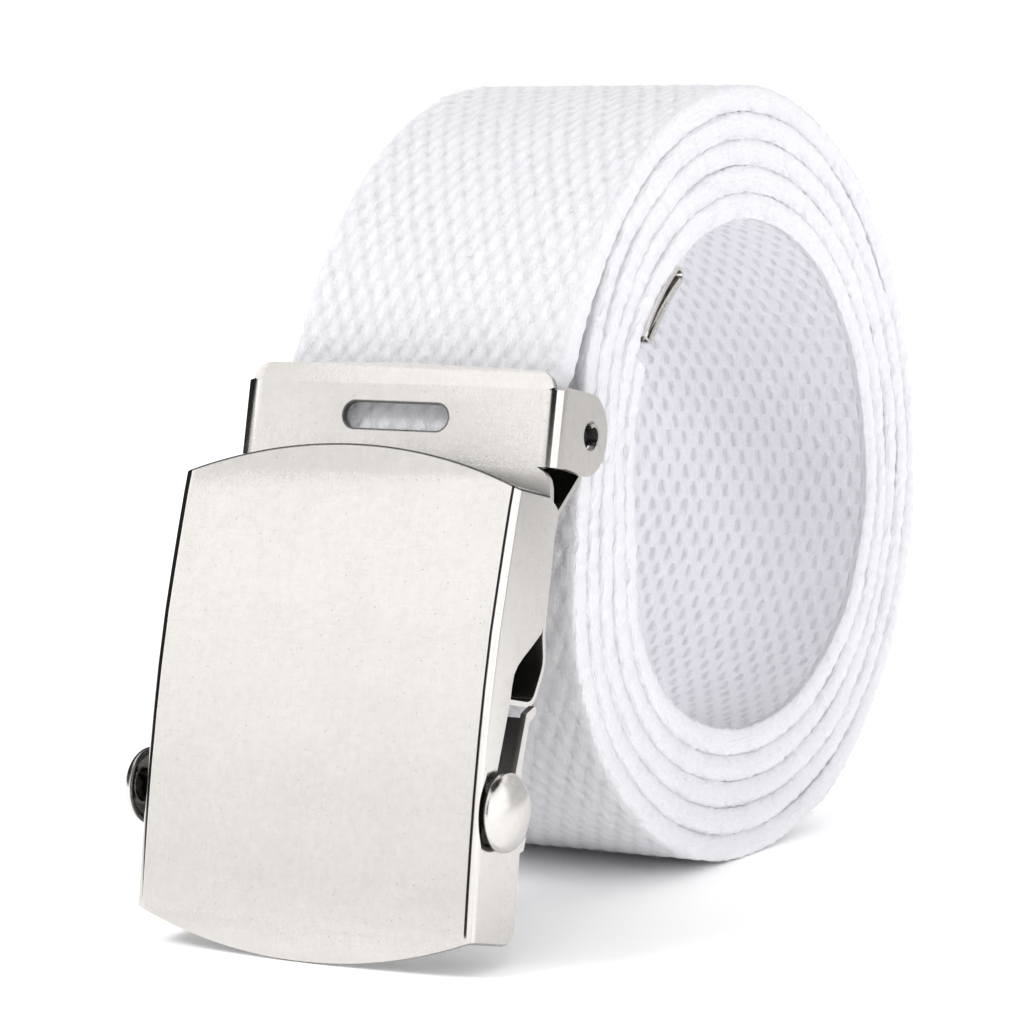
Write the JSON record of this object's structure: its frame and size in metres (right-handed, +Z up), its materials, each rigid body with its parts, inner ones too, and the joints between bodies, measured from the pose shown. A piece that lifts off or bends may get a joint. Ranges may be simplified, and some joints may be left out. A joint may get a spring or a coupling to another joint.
{
  "type": "garrison belt",
  "caption": "Cotton web belt rolled into a loose coil, with a plain metal slide buckle whose toothed clamp lever grips one end of the strap and whose loose bar locks the other.",
  "frame": {"origin": "middle of the footprint on the floor, under the centre of the overall box", "axes": "+Z up, X along the roll's axis and across the strap, -Y towards the buckle, +Y towards the back of the roll"},
  "size_m": [0.0528, 0.1316, 0.0997],
  "materials": {
    "webbing": "thick white cotton weave",
    "nickel": "satin nickel plate with fine brushing and pits"
  },
  "bodies": {
    "belt": {"webbing": "webbing", "belt_tip": "nickel", "buckle_face": "nickel", "buckle_bracket": "nickel"},
    "lever": {"clamp_lever": "nickel"},
    "bar": {"slide_bar": "nickel"}
  },
  "joints": [
    {"name": "lever_hinge", "type": "hinge", "parent": "belt", "child": "lever", "pos_m": [0.00049, -0.0344, 0.0589], "axis": [1, 0, 0], "range_deg": [0, 20]},
    {"name": "bar_slide", "type": "slide", "parent": "belt", "child": "bar", "axis": [0, 0.3803, 0.9249], "range_m": [0, 0.0096]}
  ]
}
